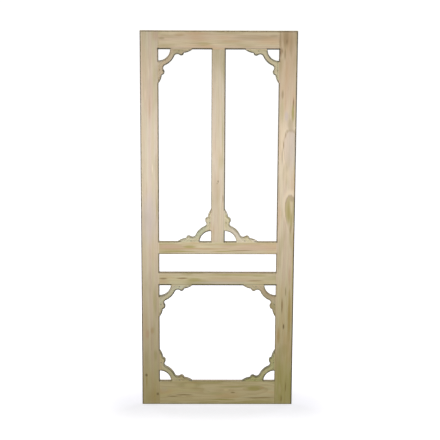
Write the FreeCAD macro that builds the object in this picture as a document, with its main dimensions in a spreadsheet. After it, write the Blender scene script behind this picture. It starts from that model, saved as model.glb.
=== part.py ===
import FreeCAD, Part
import Sketcher
import math
import os

# Wooden screen door, 32 by 80 inches: two stiles, four rails and a mullion, joined by blind
# mortises and tenons, with eight scroll-sawn brackets glued into the corners of the lights.
# X runs across the door from the hinge edge, Y from the front face to the back, Z up.
# The origin is at the foot of the hinge edge, in the middle of the thickness.

SIZES = [
    # the frame
    ("door_width", 813, "hinge edge to latch edge"),
    ("door_height", 2032, "foot to head"),
    ("door_thickness", 25.4, "front face to back face"),
    ("stile_width", 95.5, "face width of both stiles"),
    ("top_rail_width", 95, "face width"),
    ("upper_lock_width", 66.5, "face width"),
    ("lower_lock_width", 70.5, "face width"),
    ("bottom_rail_width", 132.5, "face width"),
    ("mullion_width", 73, "face width"),
    ("lower_light_height", 542, "bottom rail to lower lock rail"),
    ("middle_light_height", 102.5, "lower lock rail to upper lock rail"),
    ("arris_radius", 2.5, "eased outer edges of the stiles"),
    # the joints
    ("tenon_thickness", 9.5, "all tenons"),
    ("tenon_shoulder", 10, "tenon set back from both edges of its board"),
    ("rail_tenon_length", 45, "into a stile"),
    ("mullion_tenon_length", 28, "into a rail"),
    ("mortise_clearance", 0.2, "round a tenon, each side"),
    ("mortise_end_gap", 1.5, "room for glue at the end of a tenon"),
    # the groove in the back that takes the screen cloth and its spline
    ("groove_width", 4, ""),
    ("groove_depth", 6, ""),
    ("groove_margin", 9, "edge of the lights to the groove"),
    # the brackets, measured along and away from the legs of the corner they fill
    ("bracket_reach", 176, "corner to the tip of a tail"),
    ("tail_radius", 88, "long convex sweep of a tail"),
    ("cusp_height", 18, "where the tail meets the bead"),
    ("bead_reach", 118, "corner to the middle of the bead"),
    ("bead_height", 31.5, "crown of the bead"),
    ("bead_radius", 14, ""),
    ("trough_radius", 18, "hollow between bead and ring"),
    ("ring_radius", 89, "outside of the quarter ring"),
    ("hole_radius", 60, "quarter-round hole in the corner"),
]

doc = FreeCAD.newDocument("screen_door")
sheet = doc.addObject("Spreadsheet::Sheet", "Sizes")
for line, (alias, size, note) in enumerate(SIZES, start=1):
    sheet.set("A%d" % line, str(size))
    sheet.setAlias("A%d" % line, alias)
    sheet.set("B%d" % line, note)
doc.recompute()

SIZE = {alias: size for alias, size, note in SIZES}

# An edge that is nearer to a plane than this lies in it.
TOLERANCE = 0.01


def cell(alias):
    return "Sizes." + alias


HALF_THICKNESS = cell("door_thickness") + " / 2"
RAIL_LENGTH = "({} - 2 * {})".format(cell("door_width"), cell("stile_width"))
LOWER_LOCK_BASE = "({} + {})".format(cell("bottom_rail_width"), cell("lower_light_height"))
MIDDLE_LIGHT_BASE = "({} + {})".format(LOWER_LOCK_BASE, cell("lower_lock_width"))
UPPER_LOCK_BASE = "({} + {})".format(MIDDLE_LIGHT_BASE, cell("middle_light_height"))
UPPER_LIGHT_BASE = "({} + {})".format(UPPER_LOCK_BASE, cell("upper_lock_width"))
TOP_RAIL_BASE = "({} - {})".format(cell("door_height"), cell("top_rail_width"))

# rail: foot of the rail above the foot of the door, face width
RAILS = {
    "bottom_rail": ("0", cell("bottom_rail_width")),
    "lower_lock_rail": (LOWER_LOCK_BASE, cell("lower_lock_width")),
    "upper_lock_rail": (UPPER_LOCK_BASE, cell("upper_lock_width")),
    "top_rail": (TOP_RAIL_BASE, cell("top_rail_width")),
}


def new_body(name, x="0", z="0"):
    """A body whose own XZ plane is the door's middle plane, standing at x, z."""
    body = doc.addObject("PartDesign::Body", name)
    body.Label = name
    body.setExpression("Placement.Base.x", x)
    body.setExpression("Placement.Base.z", z)
    return body


def new_sketch(body, name, depth=None):
    """A sketch on the body's middle plane, or moved from it toward the back by depth."""
    sketch = body.newObject("Sketcher::SketchObject", body.Label + "_" + name)
    plane = [feature for feature in body.Origin.OriginFeatures if feature.Role == "XZ_Plane"][0]
    sketch.AttachmentSupport = [(plane, "")]
    sketch.MapMode = "FlatFace"
    if depth:
        sketch.setExpression("AttachmentOffset.Base.z", "-({})".format(depth))
    return sketch


def drive(sketch, index, expression):
    """Binds a dimension of the sketch to the sheet."""
    sketch.setExpression("Constraints[{}]".format(index), expression)


def polyline(sketch, corners):
    """A closed outline of upright and level lines through corners, each (x, z) in sheet terms."""
    first = sketch.GeometryCount
    count = len(corners)
    turns = [2 * math.pi * k / count for k in range(count)]
    start = [FreeCAD.Vector(math.cos(turn), math.sin(turn), 0) for turn in turns]
    for k in range(count):
        sketch.addGeometry(Part.LineSegment(start[k], start[(k + 1) % count]), False)
    for k in range(count):
        after = first + (k + 1) % count
        sketch.addConstraint(Sketcher.Constraint("Coincident", first + k, 2, after, 1))
    for k, (x, z) in enumerate(corners):
        level = sketch.addConstraint(Sketcher.Constraint("DistanceX", -1, 1, first + k, 1, start[k].x))
        drive(sketch, level, x)
        upright = sketch.addConstraint(Sketcher.Constraint("DistanceY", -1, 1, first + k, 1, start[k].y))
        drive(sketch, upright, z)


def rectangle(sketch, left, bottom, right, top):
    polyline(sketch, [(left, bottom), (right, bottom), (right, top), (left, top)])


def extrude(body, kind, sketch, length, symmetric=True):
    """A Pad or a Pocket of the sketch, on both sides of its plane or toward the back face only."""
    feature = body.newObject("PartDesign::" + kind, sketch.Label + "_" + kind.lower())
    feature.Profile = sketch
    feature.setExpression("Length", length)
    if symmetric:
        feature.SideType = "Symmetric"
    sketch.Visibility = False
    return feature


def cut_mortises(body, places):
    """Blind mortises in the middle of the thickness, each a face rectangle grown round its tenon."""
    sketch = new_sketch(body, "mortises")
    for left, bottom, right, top in places:
        rectangle(sketch, left, bottom, right, top)
    width = "{} + 2 * {}".format(cell("tenon_thickness"), cell("mortise_clearance"))
    return extrude(body, "Pocket", sketch, width)


def cut_groove(body, corners):
    """The screen groove, cut into the back face."""
    sketch = new_sketch(body, "groove", HALF_THICKNESS)
    polyline(sketch, corners)
    groove = extrude(body, "Pocket", sketch, cell("groove_depth"), symmetric=False)
    groove.Reversed = True
    return groove


def is_outer_arris(edge):
    """True for the long upright edges of a stile's outer side."""
    box = edge.BoundBox
    return box.XMax < TOLERANCE and box.YLength < TOLERANCE and box.ZLength > SIZE["door_thickness"]


def ease_outer_edges(body, feature):
    """Rounds the outer arrises of a stile."""
    doc.recompute()
    edges = enumerate(feature.Shape.Edges, start=1)
    names = ["Edge%d" % number for number, edge in edges if is_outer_arris(edge)]
    fillet = body.newObject("PartDesign::Fillet", body.Label + "_arrises")
    fillet.Base = (feature, names)
    fillet.setExpression("Radius", cell("arris_radius"))
    return fillet


def make_stile():
    """The left stile, with a mortise for each rail and the groove turning in at both ends."""
    body = new_body("left_stile")
    inner = cell("stile_width")
    face = new_sketch(body, "face")
    rectangle(face, "0", "0", inner, cell("door_height"))
    extrude(body, "Pad", face, cell("door_thickness"))

    inset = "{} - {}".format(cell("tenon_shoulder"), cell("mortise_clearance"))
    end = "{} - {} - {}".format(inner, cell("rail_tenon_length"), cell("mortise_end_gap"))
    past = "{} + {}".format(inner, cell("mortise_end_gap"))
    cut_mortises(body, [
        (end, "{} + {}".format(base, inset), past, "{} + {} - ({})".format(base, width, inset))
        for base, width in RAILS.values()
    ])

    near = "{} - {}".format(inner, cell("groove_margin"))
    far = "{} - {}".format(near, cell("groove_width"))
    beyond = "{} + {}".format(inner, cell("groove_width"))
    sill = "{} - {}".format(cell("bottom_rail_width"), cell("groove_margin"))
    head = "{} + {}".format(TOP_RAIL_BASE, cell("groove_margin"))
    below_sill = "{} - {}".format(sill, cell("groove_width"))
    above_head = "{} + {}".format(head, cell("groove_width"))
    groove = cut_groove(body, [
        (far, below_sill), (beyond, below_sill), (beyond, sill), (near, sill),
        (near, head), (beyond, head), (beyond, above_head), (far, above_head),
    ])

    ease_outer_edges(body, groove)
    return body


def make_right_stile(left):
    """The left stile mirrored in the door's centre line."""
    stile = doc.addObject("Part::Mirroring", "right_stile")
    stile.Label = "right_stile"
    stile.Source = left
    stile.Normal = FreeCAD.Vector(1, 0, 0)
    stile.setExpression("Base.x", cell("door_width") + " / 2")
    return stile


def make_rail(name):
    """A rail between the stiles, with a tenon at each end."""
    base, width = RAILS[name]
    body = new_body(name, cell("stile_width"), base)
    face = new_sketch(body, "face")
    rectangle(face, "0", "0", RAIL_LENGTH, width)
    extrude(body, "Pad", face, cell("door_thickness"))
    tenons = new_sketch(body, "tenons")
    length = cell("rail_tenon_length")
    shoulder = cell("tenon_shoulder")
    far_end = "{} + {}".format(RAIL_LENGTH, length)
    top = "{} - {}".format(width, shoulder)
    rectangle(tenons, "-" + length, shoulder, far_end, top)
    extrude(body, "Pad", tenons, cell("tenon_thickness"))
    return body


def cut_mullion_mortise(rail, bottom, top):
    """The mortise for a tenon of the mullion, in the middle of a rail."""
    inset = "{} - {}".format(cell("tenon_shoulder"), cell("mortise_clearance"))
    half = "({} / 2 - ({}))".format(cell("mullion_width"), inset)
    left = "{} / 2 - {}".format(RAIL_LENGTH, half)
    right = "{} / 2 + {}".format(RAIL_LENGTH, half)
    cut_mortises(rail, [(left, bottom, right, top)])


def cut_rail_groove(rail, bottom):
    """The groove along a rail, running out at both shoulders into the stiles."""
    past = cell("groove_width")
    end = "{} + {}".format(RAIL_LENGTH, past)
    top = "{} + {}".format(bottom, past)
    cut_groove(rail, [("-" + past, bottom), (end, bottom), (end, top), ("-" + past, top)])


def make_rails():
    """The four rails. Two of them take the mullion's tenons, and the top and bottom ones the groove."""
    rails = {name: make_rail(name) for name in RAILS}
    depth = "({} + {})".format(cell("mullion_tenon_length"), cell("mortise_end_gap"))
    past = cell("mortise_end_gap")
    mortise_foot = "{} - {}".format(cell("upper_lock_width"), depth)
    mortise_mouth = "{} + {}".format(cell("upper_lock_width"), past)
    cut_mullion_mortise(rails["upper_lock_rail"], mortise_foot, mortise_mouth)
    cut_mullion_mortise(rails["top_rail"], "-" + past, depth)
    cut_rail_groove(rails["top_rail"], cell("groove_margin"))
    sill = "{} - {}".format(cell("bottom_rail_width"), cell("groove_margin"))
    cut_rail_groove(rails["bottom_rail"], "{} - {}".format(sill, cell("groove_width")))
    return list(rails.values())


MULLION_LEFT = "({} - {}) / 2".format(cell("door_width"), cell("mullion_width"))
MULLION_RIGHT = "({} + {}) / 2".format(cell("door_width"), cell("mullion_width"))


def make_mullion():
    """The upright between the two upper lights, tenoned into the top and upper lock rails."""
    body = new_body("mullion", MULLION_LEFT, UPPER_LIGHT_BASE)
    width = cell("mullion_width")
    height = "({} - {})".format(TOP_RAIL_BASE, UPPER_LIGHT_BASE)
    face = new_sketch(body, "face")
    rectangle(face, "0", "0", width, height)
    extrude(body, "Pad", face, cell("door_thickness"))
    tenons = new_sketch(body, "tenons")
    length = cell("mullion_tenon_length")
    shoulder = cell("tenon_shoulder")
    far_side = "{} - {}".format(width, shoulder)
    top = "{} + {}".format(height, length)
    rectangle(tenons, shoulder, "-" + length, far_side, top)
    extrude(body, "Pad", tenons, cell("tenon_thickness"))
    return body


LATCH_SIDE = "({} - {})".format(cell("door_width"), cell("stile_width"))

# The corners of a light, in the order that quarter turns about Y bring a bracket to them.
LIGHT_CORNERS = ["foot left", "head left", "head right", "foot right"]

# bracket: where its corner is, and which corner of a light that is
BRACKETS = {
    "bracket_top_left": (cell("stile_width"), TOP_RAIL_BASE, "head left"),
    "bracket_top_right": (LATCH_SIDE, TOP_RAIL_BASE, "head right"),
    "bracket_mullion_left": (MULLION_LEFT, UPPER_LIGHT_BASE, "foot right"),
    "bracket_mullion_right": (MULLION_RIGHT, UPPER_LIGHT_BASE, "foot left"),
    "bracket_lower_top_left": (cell("stile_width"), LOWER_LOCK_BASE, "head left"),
    "bracket_lower_top_right": (LATCH_SIDE, LOWER_LOCK_BASE, "head right"),
    "bracket_lower_bottom_left": (cell("stile_width"), cell("bottom_rail_width"), "foot left"),
    "bracket_lower_bottom_right": (LATCH_SIDE, cell("bottom_rail_width"), "foot right"),
}

DIAGONAL = math.radians(45)


def along(centre, radius, angle):
    return centre + FreeCAD.Vector(radius * math.cos(angle), radius * math.sin(angle), 0)


def angle_of(point, centre):
    return math.atan2(point.y - centre.y, point.x - centre.x)


def arc_between(centre, radius, start, end):
    """The arc from start anticlockwise to end."""
    first = angle_of(start, centre)
    last = angle_of(end, centre)
    circle = Part.Circle(centre, FreeCAD.Vector(0, 0, 1), radius)
    return Part.ArcOfCircle(circle, first, last if last > first else last + 2 * math.pi)


def circles_meet(first, first_radius, second, second_radius):
    """The upper of the two points where circles about first and second cross."""
    line = second - first
    gap = line.Length
    reach = (first_radius ** 2 - second_radius ** 2 + gap ** 2) / (2 * gap)
    rise = math.sqrt(first_radius ** 2 - reach ** 2)
    unit = line / gap
    return first + unit * reach + FreeCAD.Vector(-unit.y, unit.x, 0) * rise


def draw_bracket_half(sketch):
    """Half a bracket, from its corner's level leg up to the diagonal: tail, bead, trough and ring."""
    corner = FreeCAD.Vector(0, 0, 0)
    tip = FreeCAD.Vector(SIZE["bracket_reach"], 0, 0)
    bead = FreeCAD.Vector(SIZE["bead_reach"], SIZE["bead_height"] - SIZE["bead_radius"], 0)
    lift = SIZE["cusp_height"] - bead.y
    cusp = FreeCAD.Vector(bead.x + math.sqrt(SIZE["bead_radius"] ** 2 - lift ** 2), SIZE["cusp_height"], 0)
    sweep = circles_meet(tip, SIZE["tail_radius"], cusp, SIZE["tail_radius"])
    trough = circles_meet(corner, SIZE["ring_radius"] + SIZE["trough_radius"],
                          bead, SIZE["bead_radius"] + SIZE["trough_radius"])
    ring_end = along(corner, SIZE["ring_radius"], angle_of(trough, corner))
    bead_end = along(bead, SIZE["bead_radius"], angle_of(trough, bead))
    hole_start = FreeCAD.Vector(SIZE["hole_radius"], 0, 0)
    hole_end = along(corner, SIZE["hole_radius"], DIAGONAL)
    ring_top = along(corner, SIZE["ring_radius"], DIAGONAL)

    leg = sketch.addGeometry(Part.LineSegment(hole_start, tip), False)
    tail_arc = sketch.addGeometry(arc_between(sweep, SIZE["tail_radius"], tip, cusp), False)
    bead_arc = sketch.addGeometry(arc_between(bead, SIZE["bead_radius"], cusp, bead_end), False)
    trough_arc = sketch.addGeometry(arc_between(trough, SIZE["trough_radius"], ring_end, bead_end), False)
    ring_arc = sketch.addGeometry(arc_between(corner, SIZE["ring_radius"], ring_end, ring_top), False)
    mitre = sketch.addGeometry(Part.LineSegment(hole_end, ring_top), False)
    hole_arc = sketch.addGeometry(arc_between(corner, SIZE["hole_radius"], hole_start, hole_end), False)
    axis = sketch.addGeometry(Part.LineSegment(corner, hole_end), True)

    # In a sketch, -1 is the level axis, and its point 1 the corner.
    # A curve's points are 1, its start, 2, its end, and 3, its centre.
    fixed = [
        ("PointOnObject", leg, 1, -1), ("PointOnObject", leg, 2, -1),
        ("Coincident", leg, 1, hole_arc, 1), ("Coincident", leg, 2, tail_arc, 1),
        ("Coincident", tail_arc, 2, bead_arc, 1), ("Tangent", bead_arc, 2, trough_arc, 2),
        ("Tangent", trough_arc, 1, ring_arc, 1), ("Coincident", ring_arc, 2, mitre, 2),
        ("Coincident", mitre, 1, hole_arc, 2), ("Coincident", ring_arc, 3, -1, 1),
        ("Coincident", hole_arc, 3, -1, 1), ("Coincident", axis, 1, -1, 1),
        ("Coincident", axis, 2, mitre, 1), ("PointOnObject", mitre, 2, axis),
    ]
    for constraint in fixed:
        sketch.addConstraint(Sketcher.Constraint(*constraint))
    sketch.addConstraint(Sketcher.Constraint("Angle", axis, DIAGONAL))

    driven = [
        (("DistanceX", -1, 1, leg, 2), tip.x, cell("bracket_reach")),
        (("Radius", tail_arc), SIZE["tail_radius"], cell("tail_radius")),
        (("DistanceY", -1, 1, bead_arc, 1), cusp.y, cell("cusp_height")),
        (("DistanceX", -1, 1, bead_arc, 3), bead.x, cell("bead_reach")),
        (("DistanceY", -1, 1, bead_arc, 3), bead.y, cell("bead_height") + " - " + cell("bead_radius")),
        (("Radius", bead_arc), SIZE["bead_radius"], cell("bead_radius")),
        (("Radius", trough_arc), SIZE["trough_radius"], cell("trough_radius")),
        (("Radius", ring_arc), SIZE["ring_radius"], cell("ring_radius")),
        (("Radius", hole_arc), SIZE["hole_radius"], cell("hole_radius")),
    ]
    for constraint, size, expression in driven:
        drive(sketch, sketch.addConstraint(Sketcher.Constraint(*constraint, size)), expression)


def make_bracket(name):
    """A scroll-sawn bracket: half of it padded, then mirrored in the corner's diagonal."""
    x, z, light_corner = BRACKETS[name]
    body = new_body(name, x, z)
    quarter_turns = LIGHT_CORNERS.index(light_corner)
    body.Placement.Rotation = FreeCAD.Rotation(FreeCAD.Vector(0, 1, 0), 90 * quarter_turns)
    outline = new_sketch(body, "outline")
    draw_bracket_half(outline)
    half = extrude(body, "Pad", outline, cell("door_thickness"))
    whole = body.newObject("PartDesign::Mirrored", name + "_mirrored")
    whole.Originals = [half]
    whole.MirrorPlane = (outline, ["Axis0"])
    body.Tip = whole
    return body


def check(pieces):
    """Stops the build where an object or a solid is faulty."""
    for item in doc.Objects:
        if "Invalid" in item.State or "Error" in item.State:
            raise RuntimeError("{} is faulty: {}".format(item.Label, item.State))
    for piece in pieces:
        if piece.Shape.isNull() or not piece.Shape.isValid() or len(piece.Shape.Solids) != 1:
            raise RuntimeError(piece.Label + " is not one sound solid")


left_stile = make_stile()
pieces = [left_stile, make_right_stile(left_stile), make_mullion()] + make_rails()
pieces += [make_bracket(name) for name in BRACKETS]
doc.recompute()
check(pieces)

os.makedirs("parts", exist_ok=True)
for piece in pieces:
    piece.Shape.exportStep("parts/{}.step".format(piece.Label))
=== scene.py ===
"""Looks of the wooden screen door: bare softwood boards, scroll-sawn brackets held by brads,
a white floor, soft lamps and the photograph's camera."""

import math

import bmesh
import bpy
from mathutils import Matrix, Vector


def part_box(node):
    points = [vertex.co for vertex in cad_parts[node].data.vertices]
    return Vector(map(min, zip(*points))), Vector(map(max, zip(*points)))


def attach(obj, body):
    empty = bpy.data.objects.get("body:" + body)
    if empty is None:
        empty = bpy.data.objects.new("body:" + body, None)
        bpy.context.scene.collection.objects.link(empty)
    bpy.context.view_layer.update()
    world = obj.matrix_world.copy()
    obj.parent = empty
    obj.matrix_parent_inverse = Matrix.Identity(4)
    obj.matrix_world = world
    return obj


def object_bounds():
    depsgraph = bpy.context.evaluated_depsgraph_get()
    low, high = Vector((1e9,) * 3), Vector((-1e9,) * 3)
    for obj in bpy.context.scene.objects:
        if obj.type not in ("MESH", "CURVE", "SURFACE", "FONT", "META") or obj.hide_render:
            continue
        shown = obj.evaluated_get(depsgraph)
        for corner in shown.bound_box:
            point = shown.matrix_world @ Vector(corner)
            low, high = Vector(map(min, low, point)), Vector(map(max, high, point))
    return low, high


MM = 0.001
PICTURE_SIZE = 440

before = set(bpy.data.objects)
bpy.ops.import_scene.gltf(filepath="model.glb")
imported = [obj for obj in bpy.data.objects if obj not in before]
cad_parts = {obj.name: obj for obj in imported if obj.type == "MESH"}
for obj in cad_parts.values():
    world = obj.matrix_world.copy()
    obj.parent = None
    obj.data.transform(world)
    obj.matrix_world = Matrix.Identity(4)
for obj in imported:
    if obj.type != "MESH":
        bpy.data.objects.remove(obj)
cad_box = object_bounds()

DOOR_LOW, DOOR_HIGH = cad_box
FRONT = DOOR_LOW.y
BACK = DOOR_HIGH.y
MIDDLE = (DOOR_LOW.x + DOOR_HIGH.x) / 2

# Directions, seen from the front.
DEPTH = Vector((0, 1, 0))
UP = Vector((0, 0, 1))
ACROSS = Vector((1, 0, 0))
RISING = Vector((1, 0, 1)).normalized()
FALLING = Vector((1, 0, -1)).normalized()
ZERO = (0, 0, 0)


def tone(red, green, blue):
    """A colour from 0 to 255 as the eye sees it, in the linear form that shaders take."""
    def linear(value):
        """One channel, by the sRGB curve."""
        value /= 255
        return value / 12.92 if value <= 0.04045 else ((value + 0.055) / 1.055) ** 2.4
    return (linear(red), linear(green), linear(blue), 1.0)


WHITE = (1, 1, 1, 1)
EARLYWOOD = tone(225, 209, 180)
ROSY_WOOD = tone(222, 200, 175)
HONEY_WOOD = tone(216, 200, 158)
LATEWOOD = tone(192, 163, 118)
RESIN_DUCT = tone(150, 122, 84)
END_GRAIN = tone(178, 152, 110)
# Painted shade along the arrises and on the sawn faces round the lights.
EDGE_SHADE = tone(49, 45, 28)
STEEL = tone(104, 100, 94)
RUST = tone(92, 62, 40)
MARK_COLOURS = {
    "brown": tone(142, 106, 64),
    "olive": tone(178, 162, 100),
    "moss": tone(194, 186, 108),
    "amber": tone(186, 148, 92),
    "grey": tone(184, 162, 128),
    "rose": tone(206, 168, 138),
    "pink": tone(216, 180, 162),
    "tan": tone(214, 180, 142),
    "pale": tone(236, 216, 184),
    "mauve": tone(212, 194, 184),
    "sage": tone(176, 178, 148),
    "knot": tone(104, 78, 46),
}

# How fine the patterns in the wood are: features to a metre across, through and along the board.
WANDER_SCALE = (1.5, 1.5, 1.1)
WOBBLE_SCALE = (28, 28, 3.5)
FIBRE_SCALE = (900, 900, 14)
DUCT_SCALE = (620, 620, 30)
CLOUD_SCALE = (16, 16, 4)
STREAK_SCALE = (110, 110, 5)
RAGGED_SCALE = (260, 260, 24)

# How deep a mark goes into the wood, and the share of a soft spot that is left one reach out.
MARK_DEPTH = 16 * MM
FADE = math.exp(-1)
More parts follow.
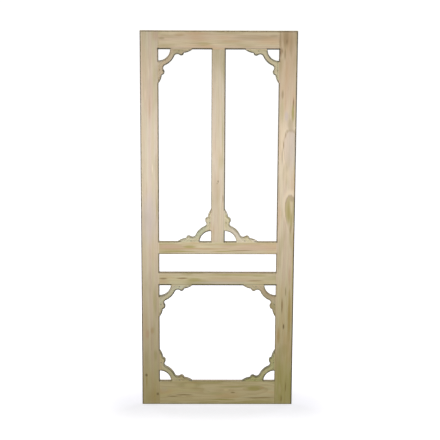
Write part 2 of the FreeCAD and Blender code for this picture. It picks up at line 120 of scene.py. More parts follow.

# How each board was sawn, with lengths in millimetres.
# grain: its direction. pith: where the log's heart lies, across the board and in depth.
# lean: the pith's drift per metre. pitch: one year's growth. seed: sets its patterns apart.
# tint: its own shade. bold: how strong its colour streaks are. rim: how deep the painted shade along its
# sawn outline is.
# figures: x, z, half length, half width and rise of a swell in the rings.
# lobes: x, z, half length, half width, colour and strength where a ring runs out at the face.
# marks: x, z, half length, half width, colour and strength of a stain, streak or knot.
BOARDS = {
    "left_stile": dict(
        grain=UP, pith=(-160, 90), lean=5, pitch=4.2, seed=3.1, tint=(0.99, 0.99, 1.0), bold=0.5,
        figures=[(23, 167, 16, 8, 5), (84, 58, 16, 8, 5)],
        marks=[
            (80, 2008, 26, 16, "rose", 0.5), (44, 1815, 30, 3, "pale", 0.7),
            (28, 1700, 32, 4, "pale", 0.6), (48, 1630, 60, 5, "amber", 0.4),
            (46, 1690, 120, 24, "rose", 0.35), (62, 1312, 24, 3, "pale", 0.9),
            (42, 1050, 140, 34, "mauve", 0.5), (84, 1105, 60, 5, "olive", 0.5),
            (72, 590, 70, 10, "olive", 0.45), (74, 280, 30, 11, "olive", 0.4),
            (56, 420, 20, 9, "amber", 0.5), (30, 400, 26, 10, "rose", 0.6),
            (24, 132, 36, 4, "amber", 0.6), (62, 40, 50, 34, "amber", 0.3),
            (40, 60, 190, 70, "moss", 0.2), (23, 167, 8, 6, "knot", 0.75), (84, 58, 8, 7, "knot", 0.6),
        ],
    ),
    "right_stile": dict(
        grain=UP, pith=(940, 70), lean=10, pitch=5.0, seed=8.4, tint=(0.97, 0.96, 0.93),
        figures=[(745, 1985, 60, 14, 8), (762, 440, 50, 10, 6)],
        lobes=[(788, 1070, 96, 32, "olive", 0.6), (786, 1395, 122, 44, "mauve", 0.45)],
        marks=[
            (768, 1840, 220, 60, "tan", 0.45), (740, 1440, 190, 40, "pale", 0.4),
            (752, 1990, 70, 44, "amber", 0.35), (752, 1992, 40, 15, "brown", 0.45),
            (735, 1960, 26, 5, "pale", 0.35), (756, 1978, 12, 4, "brown", 0.5),
            (722, 1985, 40, 5, "brown", 0.35), (748, 1914, 30, 4, "brown", 0.5),
            (728, 1922, 22, 9, "brown", 0.65), (778, 1960, 60, 8, "brown", 0.25),
            (733, 1908, 16, 5, "pale", 0.5), (736, 1615, 60, 12, "olive", 0.35),
            (738, 1704, 24, 6, "brown", 0.5), (760, 1592, 26, 9, "mauve", 0.7),
            (795, 1655, 34, 4, "brown", 0.8), (793, 1606, 44, 7, "olive", 1.0),
            (782, 1545, 34, 15, "grey", 0.6), (741, 1380, 46, 3, "brown", 0.4),
            (747, 1436, 20, 3, "brown", 0.6), (766, 1311, 18, 7, "grey", 0.55),
            (768, 1286, 44, 14, "pale", 0.45), (757, 1494, 16, 3, "brown", 0.5),
            (765, 1512, 9, 6, "grey", 0.6), (792, 1112, 50, 10, "pale", 0.4),
            (794, 1025, 36, 6, "olive", 0.7), (780, 1078, 54, 8, "olive", 0.8),
            (796, 1150, 14, 14, "grey", 0.8), (795, 940, 70, 11, "olive", 0.45),
            (808, 800, 190, 5, "olive", 0.6), (790, 985, 24, 5, "brown", 0.35),
            (790, 725, 50, 7, "rose", 0.6), (790, 520, 46, 5, "brown", 0.4),
            (792, 510, 150, 8, "amber", 0.85), (770, 500, 210, 60, "moss", 0.25),
            (752, 560, 40, 4, "brown", 0.8), (762, 444, 14, 4, "knot", 0.8),
            (770, 640, 26, 3, "brown", 0.6), (736, 395, 46, 8, "amber", 0.6),
            (768, 312, 34, 24, "olive", 0.3), (768, 100, 190, 60, "moss", 0.55),
            (747, 88, 34, 9, "pale", 0.3), (779, 100, 28, 3, "brown", 0.6),
            (756, 30, 20, 4, "brown", 0.5),
        ],
    ),
    "mullion": dict(
        grain=UP, pith=(180, 70), lean=4, pitch=3.8, seed=5.7, tint=(0.98, 0.99, 0.99), bold=0.6,
        figures=[(406, 1241, 20, 9, 4)],
        marks=[
            (402, 1215, 75, 24, "rose", 0.2), (430, 1830, 70, 3, "olive", 0.4),
            (428, 1500, 170, 4, "olive", 0.45), (432, 1150, 20, 3, "brown", 0.6),
            (422, 1345, 40, 12, "olive", 0.35), (384, 965, 60, 4, "amber", 0.35),
            (406, 1243, 6, 4, "knot", 0.6), (401, 1232, 4, 3, "knot", 0.5),
        ],
    ),
    "top_rail": dict(
        grain=ACROSS, pith=(2075, 80), lean=12, pitch=5.0, seed=2.2, tint=(1.04, 1.0, 0.94),
        figures=[(300, 1985, 120, 16, 7)],
        marks=[
            (112, 1995, 16, 7, "grey", 0.8), (206, 2013, 26, 9, "amber", 0.4),
            (160, 2022, 70, 4, "pale", 0.5), (300, 2018, 80, 3, "rose", 0.6),
            (300, 1993, 60, 12, "rose", 0.35), (330, 1966, 40, 9, "olive", 0.5),
            (290, 1970, 36, 3, "grey", 0.6), (590, 1998, 110, 13, "grey", 0.5),
            (470, 1980, 60, 7, "amber", 0.4), (690, 2008, 24, 6, "grey", 0.6),
            (430, 1962, 70, 5, "pale", 0.4),
        ],
    ),
    "upper_lock_rail": dict(
        grain=ACROSS, pith=(760, 30), lean=5, pitch=6.5, seed=6.6, tint=(0.97, 0.985, 0.865),
        marks=[
            (152, 888, 80, 13, "pink", 0.7), (258, 888, 34, 9, "olive", 0.8),
            (335, 888, 46, 3, "pale", 0.6), (285, 878, 200, 3.5, "rose", 0.85),
            (455, 890, 36, 9, "pink", 0.5), (610, 884, 130, 16, "pink", 0.6),
            (205, 863, 90, 3, "olive", 0.9), (440, 863, 60, 3, "olive", 0.8),
            (530, 868, 66, 3, "brown", 0.6),
        ],
    ),
    "lower_lock_rail": dict(
        grain=ACROSS, pith=(800, 40), lean=8, pitch=6.0, seed=9.3, tint=(0.94, 0.965, 0.85),
        figures=[(150, 712, 60, 12, 5), (215, 714, 60, 10, 5)],
        marks=[
            (116, 712, 20, 5, "brown", 0.7), (218, 714, 30, 4, "brown", 0.8),
            (280, 706, 36, 10, "olive", 0.6), (490, 733, 160, 3, "olive", 0.9),
            (627, 729, 40, 7, "olive", 0.35), (430, 691, 150, 6, "mauve", 0.75),
            (490, 706, 160, 12, "pink", 0.4), (610, 701, 40, 3, "brown", 0.5),
            (115, 696, 36, 10, "rose", 0.5),
        ],
    ),
    "bottom_rail": dict(
        grain=ACROSS, pith=(70, 85), lean=22, pitch=6.5, seed=4.5, tint=(1.1, 1.12, 1.06),
        figures=[(222, 48, 70, 16, 12), (420, 78, 90, 18, 7), (600, 88, 60, 16, -10)],
        marks=[
            (610, 92, 44, 16, "olive", 0.65), (650, 94, 12, 8, "rose", 0.6),
            (490, 99, 80, 3, "olive", 0.9), (430, 125, 110, 6, "olive", 0.25),
            (265, 124, 36, 5, "amber", 0.35), (118, 84, 22, 16, "mauve", 0.45),
            (165, 44, 24, 4, "brown", 0.6), (225, 54, 44, 3, "brown", 0.7),
            (440, 26, 66, 3, "olive", 0.9), (640, 37, 90, 4, "brown", 0.6),
            (492, 67, 12, 4, "brown", 0.7), (455, 82, 14, 6, "pale", 0.6),
            (256, 106, 34, 20, "pale", 0.5), (398, 61, 48, 10, "olive", 0.4),
        ],
    ),
    "bracket_top_left": dict(
        grain=RISING, pith=(1500, 60), pitch=4.5, seed=11.2, tint=(0.87, 0.87, 0.82), rim=1.25,
        marks=[(198, 1927, 34, 20, "olive", 0.35)],
    ),
    "bracket_top_right": dict(
        grain=FALLING, pith=(1800, 50), pitch=4.8, seed=12.9, tint=(0.92, 0.97, 0.82), rim=1.35,
    ),
    "bracket_mullion_left": dict(
        grain=RISING, pith=(480, 70), pitch=4.2, seed=13.7, tint=(0.96, 1.05, 0.96), rim=0.95,
        marks=[(317, 967, 50, 16, "sage", 0.5)],
    ),
    "bracket_mullion_right": dict(
        grain=FALLING, pith=(900, 40), pitch=5.0, seed=14.4, tint=(1.11, 1.17, 1.16), rim=0.75,
        marks=[(496, 967, 50, 16, "mauve", 0.4)],
    ),
    "bracket_lower_top_left": dict(
        grain=RISING, pith=(520, 60), pitch=4.6, seed=15.8, tint=(0.96, 1.08, 1.11),
    ),
    "bracket_lower_top_right": dict(
        grain=FALLING, pith=(860, 75), pitch=4.3, seed=16.1, tint=(0.87, 0.88, 0.82), rim=0.68,
        marks=[(664, 621, 50, 16, "brown", 0.22)],
    ),
    "bracket_lower_bottom_left": dict(
        grain=FALLING, pith=(140, 55), pitch=4.9, seed=17.6, tint=(1.14, 1.16, 1.16), rim=0.95,
        marks=[(148, 185, 50, 16, "sage", 0.3)],
    ),
    "bracket_lower_bottom_right": dict(
        grain=RISING, pith=(-200, 65), pitch=4.4, seed=18.3, tint=(1.03, 1.15, 1.02), rim=1.4,
        marks=[(598, 140, 45, 45, "moss", 0.35), (707, 235, 40, 30, "moss", 0.2)],
    ),
}
BRACKETS = [name for name in BOARDS if name.startswith("bracket")]
# A board is fitted into those before it, so its own corners there show where they meet.
FITTING_ORDER = [
    "left_stile", "right_stile", "top_rail", "upper_lock_rail", "lower_lock_rail", "bottom_rail",
    "mullion", *BRACKETS,
]


class Graph:
    """Adds shader nodes to a tree and wires them. Sockets, numbers and tuples are given alike."""

    # Sockets of a Mix node that blends colours.
    MIX_AMOUNT, MIX_FIRST, MIX_SECOND = 0, 6, 7
    MIX_RESULT = 2

    def __init__(self, tree):
        self.tree = tree

    def add(self, kind, inputs=None, **settings):
        """A new node with these inputs, by name or number, and these settings."""
        node = self.tree.nodes.new(kind)
        for name, value in settings.items():
            setattr(node, name, value)
        for socket, value in (inputs or {}).items():
            self.feed(node.inputs[socket], value)
        return node

    def feed(self, socket, value):
        """Wires an input to a socket or sets it to a constant."""
        if isinstance(value, bpy.types.NodeSocket):
            self.tree.links.new(value, socket)
        else:
            socket.default_value = value

    def math(self, operation, *values):
        """One step of arithmetic on numbers."""
        return self.add("ShaderNodeMath", dict(enumerate(values)), operation=operation).outputs[0]

    def vector(self, operation, *values):
        """One step of arithmetic on vectors."""
        node = self.add("ShaderNodeVectorMath", dict(enumerate(values)), operation=operation)
        return node.outputs["Value" if operation in ("DOT_PRODUCT", "LENGTH") else "Vector"]

    def scaled(self, place, amount):
        """A vector with each part multiplied."""
        return self.vector("MULTIPLY", place, amount)

    def centred(self, noise):
        """A noise colour, moved so that each part lies round zero."""
        return self.vector("SUBTRACT", noise, (0.5, 0.5, 0.5))

    def combine(self, x=0.0, y=0.0, z=0.0):
        """A vector from its parts."""
        return self.add("ShaderNodeCombineXYZ", {"X": x, "Y": y, "Z": z}).outputs[0]

    def part(self, place, axis):
        """One part of a vector."""
        return self.add("ShaderNodeSeparateXYZ", {"Vector": place}).outputs[axis]

    def ramp(self, value, low, high, start=0.0, end=1.0):
        """A smooth step from start to end as the value goes from low to high, which may be lower."""
        inputs = {"Value": value, "From Min": low, "From Max": high, "To Min": start, "To Max": end}
        return self.add("ShaderNodeMapRange", inputs, interpolation_type="SMOOTHSTEP").outputs["Result"]

    def noise(self, place, detail=2.0, roughness=0.5, output="Fac"):
        """Noise in space."""
        inputs = {"Vector": place, "Scale": 1.0, "Detail": detail, "Roughness": roughness}
        return self.add("ShaderNodeTexNoise", inputs).outputs[output]

    def line_noise(self, place, detail=1.0):
        """Noise along a line."""
        inputs = {"W": place, "Scale": 1.0, "Detail": detail}
        return self.add("ShaderNodeTexNoise", inputs, noise_dimensions="1D").outputs["Fac"]

    def blend(self, amount, first, second, mode="MIX"):
        """The first colour with this amount of the second."""
        inputs = {self.MIX_AMOUNT: amount, self.MIX_FIRST: first, self.MIX_SECOND: second}
        node = self.add("ShaderNodeMix", inputs, data_type="RGBA", blend_type=mode)
        return node.outputs[self.MIX_RESULT]

    def stain(self, colour, amount, strength, hue):
        """The colour with another laid over it, by an amount times a strength."""
        return self.blend(self.math("MULTIPLY", amount, strength), colour, hue)

    def group(self, tree, **inputs):
        """The outputs of a node group with these inputs."""
        return self.add("ShaderNodeGroup", inputs, node_tree=tree).outputs

    def finish(self, **inputs):
        """Ends a material in a shader with these inputs. A low line in a name stands for a space."""
        named = {name.replace("_", " "): value for name, value in inputs.items()}
        shader = self.add("ShaderNodeBsdfPrincipled", named)
        self.add("ShaderNodeOutputMaterial", {"Surface": shader.outputs[0]})


def new_group(name, inputs, outputs):
    """An empty node group with these sockets, given as name: kind, and its two end nodes."""
    tree = bpy.data.node_groups.new(name, "ShaderNodeTree")
    for socket, kind in inputs.items():
        tree.interface.new_socket(socket, in_out="INPUT", socket_type="NodeSocket" + kind)
    for socket, kind in outputs.items():
        tree.interface.new_socket(socket, in_out="OUTPUT", socket_type="NodeSocket" + kind)
    graph = Graph(tree)
    return graph, graph.add("NodeGroupInput").outputs, graph.add("NodeGroupOutput").inputs


def new_material(name):
    """An empty node material and its graph."""
    material = bpy.data.materials.new(name)
    material.use_nodes = True
    material.node_tree.nodes.clear()
    return material, Graph(material.node_tree)


def new_object(name, data):
    """A mesh, lamp or camera, placed in the scene."""
    made = bpy.data.objects.new(name, data)
    bpy.context.scene.collection.objects.link(made)
    return made


def in_reaches(graph, given):
    """The offset from a patch's centre, counted in its reaches."""
    offset = graph.vector("SUBTRACT", given["Place"], given["Centre"])
    return graph.vector("DIVIDE", offset, given["Reach"])


def spot_group():
    """A soft spot: 1 at its centre and fading to 0 past its reach, with a grainy rim."""
    raggedness = (0.7, 0.2, 0.6)
    graph, given, result = new_group(
        "spot",
        {"Place": "Vector", "Centre": "Vector", "Reach": "Vector", "Ragged": "Vector"},
        {"Amount": "Float"},
    )
    offset = graph.vector("ADD", in_reaches(graph, given), graph.scaled(given["Ragged"], raggedness))
    fade = graph.vector("DOT_PRODUCT", offset, offset)
    graph.feed(result["Amount"], graph.math("POWER", FADE, graph.math("MULTIPLY", fade, fade)))
    return graph.tree


def lobe_group():
    """Where a growth ring runs out at the face: a long body, wider at its head, with a dark line
    and a pale rim round it. Lengths are counted in the lobe's reach."""
    raggedness = (0.3, 0.1, 0.2)
    widening, middle_width = 0.35, 0.8
    foot_to_head = (-1.15, 0.1)
    body = (1.04, 0.9)
    line_inside, line_outside = (0.9, 1.0), (1.1, 1.0)
    rim_inside, rim_outside = (1.02, 1.15), (1.5, 1.2)
    graph, given, result = new_group(
        "lobe",
        {"Place": "Vector", "Centre": "Vector", "Reach": "Vector", "Ragged": "Vector"},
        {"Body": "Float", "Line": "Float", "Rim": "Float"},
    )
    offset = graph.vector("ADD", in_reaches(graph, given), graph.scaled(given["Ragged"], raggedness))
    along = graph.part(offset, "Z")
    width = graph.math("MULTIPLY_ADD", along, widening, middle_width)
    across = graph.math("DIVIDE", graph.part(offset, "X"), width)
    radius = graph.vector("LENGTH", graph.combine(x=across, z=along))
    shown = graph.ramp(along, *foot_to_head)

    def between(inside, outside):
        """A ring that rises from its inside and falls again to its outside."""
        return graph.math("MULTIPLY", graph.ramp(radius, *inside), graph.ramp(radius, *outside))

    amounts = {
        "Body": graph.ramp(radius, *body),
        "Line": between(line_inside, line_outside),
        "Rim": between(rim_inside, rim_outside),
    }
    for name, amount in amounts.items():
        graph.feed(result[name], graph.math("MULTIPLY", amount, shown))
    return graph.tree


def swell_group():
    """A smooth local swell, for the rings that bend round a knot or a dip in the log."""
    graph, given, result = new_group(
        "swell",
        {"Place": "Vector", "Centre": "Vector", "Reach": "Vector", "Rise": "Float"},
        {"Amount": "Float"},
    )
    offset = in_reaches(graph, given)
    fade = graph.math("POWER", FADE, graph.vector("DOT_PRODUCT", offset, offset))
    graph.feed(result["Amount"], graph.math("MULTIPLY", fade, given["Rise"]))
    return graph.tree


def clear_group():
    """1 away from a box or where the surface turns away from the seam in it, and 0 at the seam."""
    at_seam, clear_of_seam = 4 * MM, 8 * MM
    facing_seam = 0.1
    graph, given, result = new_group(
        "clear_of_joint",
        {"Place": "Vector", "Centre": "Vector", "Half": "Vector", "Normal": "Vector", "Seam": "Vector"},
        {"Amount": "Float"},
    )
    beyond = graph.vector("ABSOLUTE", graph.vector("SUBTRACT", given["Place"], given["Centre"]))
    beyond = graph.vector("MAXIMUM", graph.vector("SUBTRACT", beyond, given["Half"]), ZERO)
    away = graph.ramp(graph.vector("LENGTH", beyond), at_seam, clear_of_seam)
    turned = graph.ramp(graph.vector("DOT_PRODUCT", given["Normal"], given["Seam"]), facing_seam, 0.0)
    graph.feed(result["Amount"], graph.math("MAXIMUM", away, turned))
    return graph.tree


def open_spaces():
    """The air that the boards face: left, low, right and high end of each space, and how deep the
    painted arris shade is on the board at its left, at its right, below it and above it."""
    left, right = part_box("left_stile")[1].x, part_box("right_stile")[0].x
    mullion_left, mullion_right = (corner.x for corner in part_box("mullion"))
    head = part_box("top_rail")[0].z
    upper_lock_low, upper_lock_high = (corner.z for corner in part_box("upper_lock_rail"))
    lower_lock_low, lower_lock_high = (corner.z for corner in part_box("lower_lock_rail"))
    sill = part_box("bottom_rail")[1].z
    beyond = 1.0
    far_left, far_right = DOOR_LOW.x - beyond, DOOR_HIGH.x + beyond
    far_below, far_above = DOOR_LOW.z - beyond, DOOR_HIGH.z + beyond
    return [
        ((left, upper_lock_high, mullion_left, head), (0.68, 0.28, 0.1, 1.0)),
        ((mullion_right, upper_lock_high, right, head), (0.82, 0.65, 0.1, 1.0)),
        ((left, lower_lock_high, right, upper_lock_low), (0.7, 0.4, 0.15, 0.42)),
        ((left, sill, right, lower_lock_low), (0.68, 0.27, 0.0, 1.0)),
        ((far_left, far_below, DOOR_LOW.x, far_above), (0.0, 0.62, 0.0, 0.0)),
        ((DOOR_HIGH.x, far_below, far_right, far_above), (0.83, 0.0, 0.0, 0.0)),
        ((DOOR_LOW.x, DOOR_HIGH.z, DOOR_HIGH.x, far_above), (0.0, 0.0, 0.42, 0.0)),
        ((DOOR_LOW.x, far_below, DOOR_HIGH.x, DOOR_LOW.z), (0.0, 0.0, 0.0, 0.35)),
    ]


def arris_shade_group():
    """Painted shade on a board near its arrises and on the sawn faces round the lights."""
    # Each space is shrunk by the margin, so that the way out of it is sure on the sawn faces too.
    margin = 1 * MM
    soft_edge = 4 * MM
    widest_band = 5.2 * MM
    least_dark = 0.45
    # How deep the painted shade on the sawn faces is.
    sawn_shade = 0.45
    sawn_face, flat_face = 1.5 * MM, 0.2 * MM
    fade_outside, fade_inside = 2.5, 0.2
    graph, given, result = new_group("arris", {"Place": "Vector"}, {"Amount": "Float"})
    place = given["Place"]
    within = graph.math("SUBTRACT", (BACK - FRONT) / 2, graph.math("ABSOLUTE", graph.part(place, "Y")))
    on_face = graph.ramp(within, sawn_face, flat_face)
    off_face = graph.math("SUBTRACT", 1.0, on_face)
    darkest = 0.0
    for (left, low, right, high), (on_left, on_right, below, above) in open_spaces():
        outside = low < DOOR_LOW.z or high > DOOR_HIGH.z
        nearest = graph.vector("MAXIMUM", place, (left + margin, FRONT, low + margin))
        nearest = graph.vector("MINIMUM", nearest, (right - margin, BACK, high - margin))
        away = graph.vector("SUBTRACT", place, nearest)
        way = graph.vector("NORMALIZE", away)
        toward_high = graph.vector("DOT_PRODUCT", graph.vector("MAXIMUM", way, ZERO), (on_right, 0, above))
        toward_low = graph.vector("DOT_PRODUCT", graph.vector("MINIMUM", way, ZERO), (on_left, 0, below))
        strength = graph.math("SUBTRACT", toward_high, toward_low)
        inward = graph.combine(y=graph.math("MULTIPLY", within, fade_outside if outside else fade_inside))
        distance = graph.vector("LENGTH", graph.vector("ADD", away, inward))
        distance = graph.math("MULTIPLY_ADD", strength, -widest_band, distance)
        dark = graph.math("MULTIPLY_ADD", strength, 1 - least_dark, least_dark)
        # The sawn faces round the lights take painted shade of their own.
        if not outside:
            dark = graph.math("MULTIPLY", dark, on_face)
            dark = graph.math("MULTIPLY_ADD", off_face, sawn_shade, dark)
        amount = graph.math("MULTIPLY", graph.ramp(distance, margin + soft_edge, margin), dark)
        darkest = graph.math("MAXIMUM", amount, darkest)
    graph.feed(result["Amount"], darkest)
    return graph.tree


def softwood_group():
    """Growth rings round a wandering pith, colour bands, fibres and resin ducts of one board.
    Place runs across the board, through its thickness and along the grain, in metres."""
    wander_reach = (50 * MM, 35 * MM, 0)
    wobble_reach = 6 * MM
    uneven_rate, uneven_years = 0.31, 2.2
    late_start, late_full = 0.3, 0.9
    least_vigour = 0.25
    duct_levels = (0.7, 0.78)
    streak_levels, gleam_levels = (0.58, 0.7), (0.42, 0.3)
    graph, given, result = new_group(
        "softwood",
        {"Place": "Vector", "Pith": "Vector", "Lean": "Float", "Pitch": "Float", "Swell": "Float",
         "Seed": "Float"},
        {"Late": "Float", "Band": "Float", "Warm": "Float", "Fibre": "Float", "Duct": "Float",
         "Cloud": "Float", "Streak": "Float", "Gleam": "Float", "Ragged": "Vector"},
    )
    place = given["Place"]
    seed = given["Seed"]
    shift = graph.combine(seed, seed, seed)

    def pattern(scale, detail=2.0, roughness=0.5, output="Fac"):
        """Noise of this scale, of each board's own."""
        seeded = graph.vector("ADD", graph.scaled(place, scale), shift)
        return graph.noise(seeded, detail, roughness, output)

    def band(years, rate, shuffle):
        """Noise that changes slowly from ring to ring."""
        start = graph.math("MULTIPLY", seed, shuffle)
        return graph.line_noise(graph.math("MULTIPLY_ADD", years, rate, start), detail=2.0)

    wander = graph.scaled(graph.centred(pattern(WANDER_SCALE, detail=1.5, output="Color")), wander_reach)
    lean = graph.combine(y=graph.math("MULTIPLY", graph.part(place, "Z"), given["Lean"]))
    from_pith = graph.vector("SUBTRACT", graph.vector("ADD", place, wander), given["Pith"])
    from_pith = graph.scaled(graph.vector("SUBTRACT", from_pith, lean), (1, 1, 0))
    wobble = graph.math("MULTIPLY_ADD", pattern(WOBBLE_SCALE), wobble_reach, given["Swell"])
    radius = graph.math("ADD", graph.vector("LENGTH", from_pith), wobble)

    years = graph.math("DIVIDE", radius, given["Pitch"])
    uneven = graph.line_noise(graph.math("MULTIPLY_ADD", years, uneven_rate, seed))
    years = graph.math("MULTIPLY_ADD", uneven, uneven_years, years)
    season = graph.math("FRACT", years)
    growing = graph.ramp(season, late_start, late_full)
    ending = graph.ramp(season, late_full, 1.0, 1.0, 0.0)
    year = graph.math("ADD", graph.math("FLOOR", years), seed)
    vigour = graph.add("ShaderNodeTexWhiteNoise", {"W": year}, noise_dimensions="1D").outputs["Value"]
    vigour = graph.math("MULTIPLY_ADD", vigour, 1 - least_vigour, least_vigour)
    streaks = pattern(STREAK_SCALE)
    patterns = {
        "Late": graph.math("MULTIPLY", graph.math("MULTIPLY", growing, ending), vigour),
        "Band": band(years, rate=0.27, shuffle=3.7),
        "Warm": band(years, rate=0.19, shuffle=7.9),
        "Fibre": pattern(FIBRE_SCALE, detail=3.0, roughness=0.6),
        "Duct": graph.ramp(pattern(DUCT_SCALE, detail=1.0), *duct_levels),
        "Cloud": pattern(CLOUD_SCALE),
        "Streak": graph.ramp(streaks, *streak_levels),
        "Gleam": graph.ramp(streaks, *gleam_levels),
        "Ragged": graph.centred(pattern(RAGGED_SCALE, output="Color")),
    }
    for name, value in patterns.items():
        graph.feed(result[name], value)
    return graph.tree


SPOT = spot_group()
LOBE = lobe_group()
SWELL = swell_group()
CLEAR = clear_group()
ARRIS_SHADE = arris_shade_group()
SOFTWOOD = softwood_group()


def on_legs(name, from_corner, from_seam):
    """The x and z of a point on each leg of a bracket, the first on the leg along the rail."""
    low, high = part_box(name)
    right_hand = name.endswith("right")
    upper = "top" in name
    if "mullion" in name:
        right_hand = not right_hand
    corner_x, inward = (high.x, -1) if right_hand else (low.x, 1)
    corner_z, inner = (high.z, -1) if upper else (low.z, 1)
    along_rail = (corner_x + inward * from_corner, corner_z + inner * from_seam)
    along_upright = (corner_x + inward * from_seam, corner_z + inner * from_corner)
    return along_rail, along_upright


def brad_places(name):
    """Where a bracket's two brads are: near the seams, under the bead at the end of each leg."""
    from_corner, from_seam = 106 * MM, 7 * MM
    return on_legs(name, from_corner, from_seam)


def brad_stains(name):
    """The marks that the brads leave on a bracket."""
    half_length, half_width, strength = 5, 4, 0.3
    return [(x / MM, z / MM, half_length, half_width, "knot", strength) for x, z in brad_places(name)]


def tail_tips(name):
    """Centre and half size of the thin ends of a bracket's legs, which are all arris."""
    from_end = 8 * MM
    long, thin = 14 * MM, 5 * MM
    low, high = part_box(name)
    (rail_x, rail_z), (upright_x, upright_z) = on_legs(name, high.x - low.x - from_end, 0)
    return [
        ((rail_x, FRONT, rail_z), (long, long, thin)),
        ((upright_x, FRONT, upright_z), (thin, long, long)),
    ]


def joints_of(name):
    """The seams between this board and a bracket: centre, half size and the way to the neighbour."""
    slack = 0.5 * MM
    # The last stretch at each end of a seam keeps its painted shade.
    seam_trim = 9 * MM
    found = []
    own_low, own_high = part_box(name)
    for other in BOARDS:
        if other == name or not (name in BRACKETS or other in BRACKETS):
            continue
        host, guest = sorted((name, other), key=FITTING_ORDER.index)
        low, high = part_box(host)
        inside = [
            vertex.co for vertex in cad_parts[guest].data.vertices
            if all(low[part] - slack <= vertex.co[part] <= high[part] + slack for part in range(3))
        ]
        if not inside:
            continue
        low = Vector(min(point[part] for point in inside) for part in range(3))
        high = Vector(max(point[part] for point in inside) for part in range(3))
        centre, half = (low + high) / 2, (high - low) / 2
        axis = 0 if half.x < half.z else 2
        half[2 - axis] -= seam_trim
        way = Vector(ZERO)
        way[axis] = math.copysign(1, centre[axis] - (own_low[axis] + own_high[axis]) / 2)
        found.append((centre, half, way))
    return found


def clear_joints(graph, name, surface, edge_shade, normal=None):
    """The painted arris shade without the seams, where a board meets its neighbours."""
    for centre, half, way in joints_of(name):
        seam = tuple(way)
        clear = graph.group(
            CLEAR, Place=surface, Centre=tuple(centre), Half=tuple(half), Seam=seam,
            Normal=seam if normal is None else normal,
        )
        edge_shade = graph.math("MULTIPLY", edge_shade, clear["Amount"])
    return edge_shade


def bracket_edge_shade(graph, name, surface, rim):
    """Painted shade on a bracket near its sawn outline and on its sawn faces: deepest at the lower right,
    the side turned from the light, and at the tail tips.
    """
    outline_width, samples = 17 * MM, 8
    # The painted shade is deepest on the side turned from the light, down and to the right.
    lee_way = (0.6, 0, -0.8)
    lee_levels, lee_shades = (-0.4, 0.3), (0.35, 1.0)
    arris_levels = (0.993, 0.955)
    # The sawn faces take painted shade too.
    sawn_levels, sawn_shade = (0.75, 0.6), 0.6
    tip_shade = 0.8
    normal = graph.add("ShaderNodeBevel", {"Radius": outline_width}, samples=samples).outputs[0]
    frontal = graph.math("ABSOLUTE", graph.vector("DOT_PRODUCT", normal, tuple(DEPTH)))
    lee = graph.ramp(graph.vector("DOT_PRODUCT", normal, lee_way), *lee_levels, *lee_shades)
    edge_shade = graph.math("MULTIPLY", graph.ramp(frontal, *arris_levels), lee)
    edge_shade = graph.math("MAXIMUM", edge_shade, graph.ramp(frontal, *sawn_levels, 0.0, sawn_shade))
    edge_shade = graph.math("MINIMUM", graph.math("MULTIPLY", edge_shade, rim), 1.0)
    edge_shade = clear_joints(graph, name, surface, edge_shade, normal)
    # The thin tail tips take painted shade all over.
    for centre, half in tail_tips(name):
        tip = graph.group(SPOT, Place=surface, Centre=centre, Reach=half, Ragged=ZERO)
        edge_shade = graph.math("MAXIMUM", edge_shade, graph.math("MULTIPLY", tip["Amount"], tip_shade))
    return edge_shade


def clear_wood(graph, wood, bold):
    """The colour of the wood between its marks."""
    # pattern, level where the colour begins and where it is full, strength, colour
    layers = [
        ("Band", 0.3, 0.7, 1.0, ROSY_WOOD),
        ("Warm", 0.45, 0.75, 0.7, HONEY_WOOD),
        ("Cloud", 0.52, 0.7, 0.5 * bold, MARK_COLOURS["olive"]),
        ("Cloud", 0.48, 0.3, 0.6 * bold, MARK_COLOURS["tan"]),
    ]
    # pattern, strength, colour
    lines = [
        ("Late", 0.55, LATEWOOD),
        ("Streak", 0.3 * bold, MARK_COLOURS["amber"]),
        ("Gleam", 0.4 * bold, MARK_COLOURS["pale"]),
    ]
    colour = EARLYWOOD
    for pattern, begins, full, strength, hue in layers:
        colour = graph.blend(graph.ramp(wood[pattern], begins, full, 0.0, strength), colour, hue)
    for pattern, strength, hue in lines:
        colour = graph.stain(colour, wood[pattern], strength, hue)
    return colour


def shade_of(graph, wood, tint):
    """What the fibres, the clouds and the board's tint multiply its colour by."""
    fibre_levels, fibre_shades = (0.2, 0.8), (0.93, 1.05)
    cloud_levels, cloud_shades = (0.25, 0.75), (1.03, 0.97)
    fibres = graph.ramp(wood["Fibre"], *fibre_levels, *fibre_shades)
    shade = graph.math("MULTIPLY", fibres, graph.ramp(wood["Cloud"], *cloud_levels, *cloud_shades))
    return graph.combine(*(graph.math("MULTIPLY", shade, part) for part in tint))


def finish_wood(graph, wood, colour, ends):
    """The wood's shader: raised latewood and fibres, sunk ducts, rougher end grain."""
    late_relief, fibre_relief = 0.6, 0.5
    plain_rough, late_rough, end_rough = 0.62, -0.12, 0.15
    relief = graph.math("MULTIPLY", wood["Fibre"], fibre_relief)
    relief = graph.math("MULTIPLY_ADD", wood["Late"], late_relief, relief)
    relief = graph.math("SUBTRACT", relief, wood["Duct"])
    bump = graph.add("ShaderNodeBump", {"Height": relief, "Strength": 0.35, "Distance": 0.25 * MM})
    rough = graph.math("MULTIPLY_ADD", wood["Late"], late_rough, plain_rough)
    rough = graph.math("MULTIPLY_ADD", ends, end_rough, rough)
    graph.finish(Base_Color=colour, Roughness=rough, Normal=bump.outputs[0], Specular_IOR_Level=0.3)


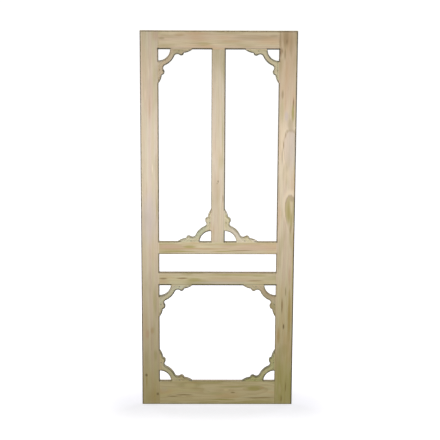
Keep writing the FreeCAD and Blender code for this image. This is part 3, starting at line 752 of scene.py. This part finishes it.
def board_wood(
    name, grain, pith, pitch, seed, tint, lean=0, bold=1.0, rim=1.0, figures=(), lobes=(), marks=(),
):
    """The wood of one board, cut through a solid log, with its own marks and painted shade along its
    arrises and sawn faces.
    """
    line_share, rim_share = 0.7, 1.2
    duct_strength, end_strength, edge_shade_strength = 0.3, 0.7, 0.95
    end_levels = (0.6, 0.9)
    material, graph = new_material("wood_" + name)
    axes = (DEPTH.cross(grain), DEPTH, grain)
    surface = graph.add("ShaderNodeTexCoord").outputs["Object"]
    place = graph.combine(*(graph.vector("DOT_PRODUCT", surface, tuple(axis)) for axis in axes))

    def patch(x, z, half_length, half_width):
        """The inputs for a patch of the front face, in the board's own directions."""
        point = Vector((x * MM, FRONT, z * MM))
        centre = tuple(point.dot(axis) for axis in axes)
        return dict(Place=place, Centre=centre, Reach=(half_width * MM, MARK_DEPTH, half_length * MM))

    swell = 0.0
    for *spot, rise in figures:
        here = graph.group(SWELL, Rise=rise * MM, **patch(*spot))
        swell = graph.math("ADD", here["Amount"], swell)
    # The way across a board runs to the right on an upright one, and downward on the others.
    sign = 1 if grain == UP else -1
    wood = graph.group(
        SOFTWOOD,
        Place=place,
        Pith=(sign * pith[0] * MM, pith[1] * MM, 0),
        Lean=lean * MM,
        Pitch=pitch * MM,
        Swell=swell,
        Seed=seed,
    )

    colour = clear_wood(graph, wood, bold)
    for *spot, hue, strength in lobes:
        lobe = graph.group(LOBE, Ragged=wood["Ragged"], **patch(*spot))
        layers = [("Body", 1.0, hue), ("Line", line_share, "brown"), ("Rim", rim_share, "pale")]
        for part, share, stain in layers:
            colour = graph.stain(colour, lobe[part], share * strength, MARK_COLOURS[stain])
    stains = brad_stains(name) if name in BRACKETS else []
    for *spot, hue, strength in [*marks, *stains]:
        mark = graph.group(SPOT, Ragged=wood["Ragged"], **patch(*spot))
        colour = graph.stain(colour, mark["Amount"], strength, MARK_COLOURS[hue])
    colour = graph.stain(colour, wood["Duct"], duct_strength, RESIN_DUCT)
    colour = graph.blend(1.0, colour, shade_of(graph, wood, tint), "MULTIPLY")

    normal = graph.add("ShaderNodeNewGeometry").outputs["True Normal"]
    facing = graph.vector("DOT_PRODUCT", normal, tuple(grain))
    ends = graph.ramp(graph.math("ABSOLUTE", facing), *end_levels)
    colour = graph.stain(colour, ends, end_strength, END_GRAIN)
    # Painted shade along the arrises and on the sawn faces, deepest on the sides turned from the light.
    if name in BRACKETS:
        edge_shade = bracket_edge_shade(graph, name, surface, rim)
    else:
        edge_shade = clear_joints(graph, name, surface, graph.group(ARRIS_SHADE, Place=surface)["Amount"])
    colour = graph.stain(colour, edge_shade, edge_shade_strength, EDGE_SHADE)
    finish_wood(graph, wood, colour, ends)
    return material


def dress_boards():
    """Gives each board its wood and eases its sharp arrises."""
    for name, cut in BOARDS.items():
        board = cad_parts[name]
        board.data.materials.clear()
        board.data.materials.append(board_wood(name, **cut))
        weld = board.modifiers.new("weld", "WELD")
        weld.merge_threshold = 0.01 * MM
        flat = board.modifiers.new("flat", "DECIMATE")
        flat.decimate_type = "DISSOLVE"
        flat.angle_limit = math.radians(0.5)
        ease = board.modifiers.new("ease", "BEVEL")
        ease.width = 0.6 * MM
        ease.segments = 2
        ease.limit_method = "ANGLE"
        ease.angle_limit = math.radians(35)
        board.modifiers.new("normals", "WEIGHTED_NORMAL").keep_sharp = True


def make_brad_steel():
    """Dull steel with a film of rust."""
    rust_scale = (700, 700, 700)
    rust_levels = (0.4, 0.65)
    rough_levels, rough_range = (0.3, 0.7), (0.35, 0.75)
    material, graph = new_material("brad_steel")
    surface = graph.add("ShaderNodeTexCoord").outputs["Object"]
    rust = graph.noise(graph.scaled(surface, rust_scale), detail=3.0)
    colour = graph.blend(graph.ramp(rust, *rust_levels), STEEL, RUST)
    rough = graph.ramp(rust, *rough_levels, *rough_range)
    bump = graph.add("ShaderNodeBump", {"Height": rust, "Strength": 0.3, "Distance": 0.05 * MM})
    graph.finish(Base_Color=colour, Roughness=rough, Normal=bump.outputs[0], Metallic=0.8)
    return material


def add_brad(mesh, x, z):
    """One domed brad head, standing a little proud of the front face, with its neck in the wood."""
    sides = 16
    crown_height = 0.5 * MM
    # radius and depth behind the front face, in millimetres
    profile = [(0.9, -0.42), (1.5, -0.18), (1.7, 0.05), (1.2, 0.3), (0.7, 0.6)]
    turns = [2 * math.pi * step / sides for step in range(sides)]

    def point(radius, depth, turn):
        """A new point of the head, a turn round its middle."""
        across, up = radius * MM * math.cos(turn), radius * MM * math.sin(turn)
        return mesh.verts.new((x + across, FRONT + depth * MM, z + up))

    rings = [[point(radius, depth, turn) for turn in turns] for radius, depth in profile]
    for near, far in zip(rings, rings[1:]):
        for step in range(sides):
            after = (step + 1) % sides
            mesh.faces.new((near[step], near[after], far[after], far[step]))
    crown = mesh.verts.new((x, FRONT - crown_height, z))
    for step in range(sides):
        mesh.faces.new((crown, rings[0][(step + 1) % sides], rings[0][step]))
    mesh.faces.new(rings[-1])


def make_brads():
    """Two brads hold each bracket."""
    steel = make_brad_steel()
    for name in BRACKETS:
        mesh = bmesh.new()
        for x, z in brad_places(name):
            add_brad(mesh, x, z)
        bmesh.ops.recalc_face_normals(mesh, faces=mesh.faces[:])
        data = bpy.data.meshes.new(name.replace("bracket", "brads"))
        mesh.to_mesh(data)
        mesh.free()
        data.materials.append(steel)
        for face in data.polygons:
            face.use_smooth = True
        brads = new_object(data.name, data)
        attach(brads, "root")


def seen_directly(graph):
    """1 for what the camera sees, directly or in a reflection, and 0 for light on the door."""
    path = graph.add("ShaderNodeLightPath").outputs
    seen = graph.math("MAXIMUM", path["Is Camera Ray"], path["Is Glossy Ray"])
    return graph.math("MAXIMUM", seen, path["Is Transmission Ray"])


def make_floor():
    """A floor that is seen as white apart from the door's shadow and a painted shade round its
    foot, and that lights the door as a pale grey one would."""
    reach = 60.0
    corners = [(-reach, -reach, 0), (reach, -reach, 0), (reach, reach, 0), (-reach, reach, 0)]
    # It glows less near the door, a painted shade round its foot, so that the lamps' light on it, and so
    # their shadow, tells there.
    shaded_glow_at_door, full_glow = 0.68, 1.0
    full_glow_distance = 0.5
    bounce_grey, shadow_grey = (0.3, 0.29, 0.27, 1), (0.45, 0.45, 0.62, 1)
    mesh = bpy.data.meshes.new("floor")
    mesh.from_pydata(corners, [], [(0, 1, 2, 3)])
    floor = new_object("floor", mesh)
    material, graph = new_material("floor")
    place = graph.add("ShaderNodeNewGeometry").outputs["Position"]
    foot = graph.vector("MAXIMUM", place, (DOOR_LOW.x, FRONT, 0))
    foot = graph.vector("MINIMUM", foot, (DOOR_HIGH.x, BACK, 0))
    away = graph.vector("LENGTH", graph.vector("SUBTRACT", place, foot))
    glow = graph.ramp(away, 0.0, full_glow_distance, shaded_glow_at_door, full_glow)
    white = graph.add("ShaderNodeEmission", {"Color": WHITE, "Strength": glow}).outputs[0]
    shadowed = graph.add("ShaderNodeBsdfDiffuse", {"Color": shadow_grey}).outputs[0]
    shown = graph.add("ShaderNodeAddShader", {0: white, 1: shadowed}).outputs[0]
    bounce = graph.add("ShaderNodeBsdfDiffuse", {"Color": bounce_grey}).outputs[0]
    mixed = graph.add("ShaderNodeMixShader", {0: seen_directly(graph), 1: bounce, 2: shown}).outputs[0]
    graph.add("ShaderNodeOutputMaterial", {"Surface": mixed})
    mesh.materials.append(material)


def make_world():
    """White behind the door, and a low even light round it."""
    even_light = {"Color": (1, 0.97, 0.45, 1), "Strength": 0.16}
    world = bpy.data.worlds.new("studio")
    bpy.context.scene.world = world
    world.use_nodes = True
    world.node_tree.nodes.clear()
    graph = Graph(world.node_tree)
    white = graph.add("ShaderNodeBackground", {"Color": WHITE, "Strength": 1.0}).outputs[0]
    light = graph.add("ShaderNodeBackground", even_light).outputs[0]
    mixed = graph.add("ShaderNodeMixShader", {0: seen_directly(graph), 1: light, 2: white}).outputs[0]
    graph.add("ShaderNodeOutputWorld", {"Surface": mixed})


def make_lamp(name, place, target, size, power, colour, spread):
    """A soft rectangular lamp, seen by the door and not by the camera."""
    light = bpy.data.lights.new(name, "AREA")
    light.shape = "RECTANGLE"
    light.size, light.size_y = size
    light.energy = power
    light.color = colour
    light.spread = math.radians(spread)
    lamp = new_object(name, light)
    lamp.location = place
    lamp.rotation_mode = "QUATERNION"
    lamp.rotation_quaternion = (Vector(target) - Vector(place)).to_track_quat("-Z", "Y")
    lamp.visible_camera = False


def make_lamps():
    """A cool strip before the upper door, a warm wide fill in front, one above and two behind."""
    # Spread in degrees.
    wide, narrow = 180, 66
    # name, place from the foot of the door's middle, height aimed at, size, power, colour, spread
    lamps = [
        ("key", (-0.3, -2.4, 1.98), 1.25, (3.0, 0.2), 16.0, (0.72, 0.75, 1.0), narrow),
        ("fill", (0.0, -6.0, 1.4), 1.0, (4.0, 2.5), 52.5, (0.95, 1.0, 0.27), wide),
        ("above", (0.0, 0.5, 4.2), 2.0, (2.0, 0.6), 20.0, (1.0, 0.95, 0.8), wide),
        ("behind_left", (-4.0, 3.5, 0.9), 1.0, (2.5, 1.4), 110.0, (1.0, 0.97, 0.9), wide),
        ("behind_right", (4.0, 3.5, 0.9), 1.0, (2.5, 1.4), 110.0, (1.0, 0.97, 0.9), wide),
    ]
    for name, (aside, y, z), aim, size, power, colour, spread in lamps:
        make_lamp(name, (MIDDLE + aside, y, z), (MIDDLE, 0, aim), size, power, colour, spread)


def make_camera():
    """The photograph's camera: far off, a little above the door and left of its middle."""
    focal_pixels = 1450
    place = (0.3241, -7.4493, 2.8861)
    yaw, pitch, roll = (math.radians(angle) for angle in (-0.717, -13.976, 0.303))
    camera = bpy.data.cameras.new("photograph")
    camera.sensor_width = 36
    camera.lens = focal_pixels / PICTURE_SIZE * camera.sensor_width
    camera.clip_end = 200
    ahead = Vector((-math.sin(yaw) * math.cos(pitch), math.cos(yaw) * math.cos(pitch), math.sin(pitch)))
    level = Vector((math.cos(yaw), math.sin(yaw), 0))
    upright = level.cross(ahead)
    right = level * math.cos(roll) + upright * math.sin(roll)
    top = upright * math.cos(roll) - level * math.sin(roll)
    turn = Matrix((right, top, -ahead)).transposed()
    holder = new_object("photograph", camera)
    holder.matrix_world = Matrix.Translation(place) @ turn.to_4x4()
    bpy.context.scene.camera = holder


bpy.context.scene.view_settings.view_transform = "Standard"
dress_boards()
make_brads()
make_floor()
make_world()
make_lamps()
make_camera()
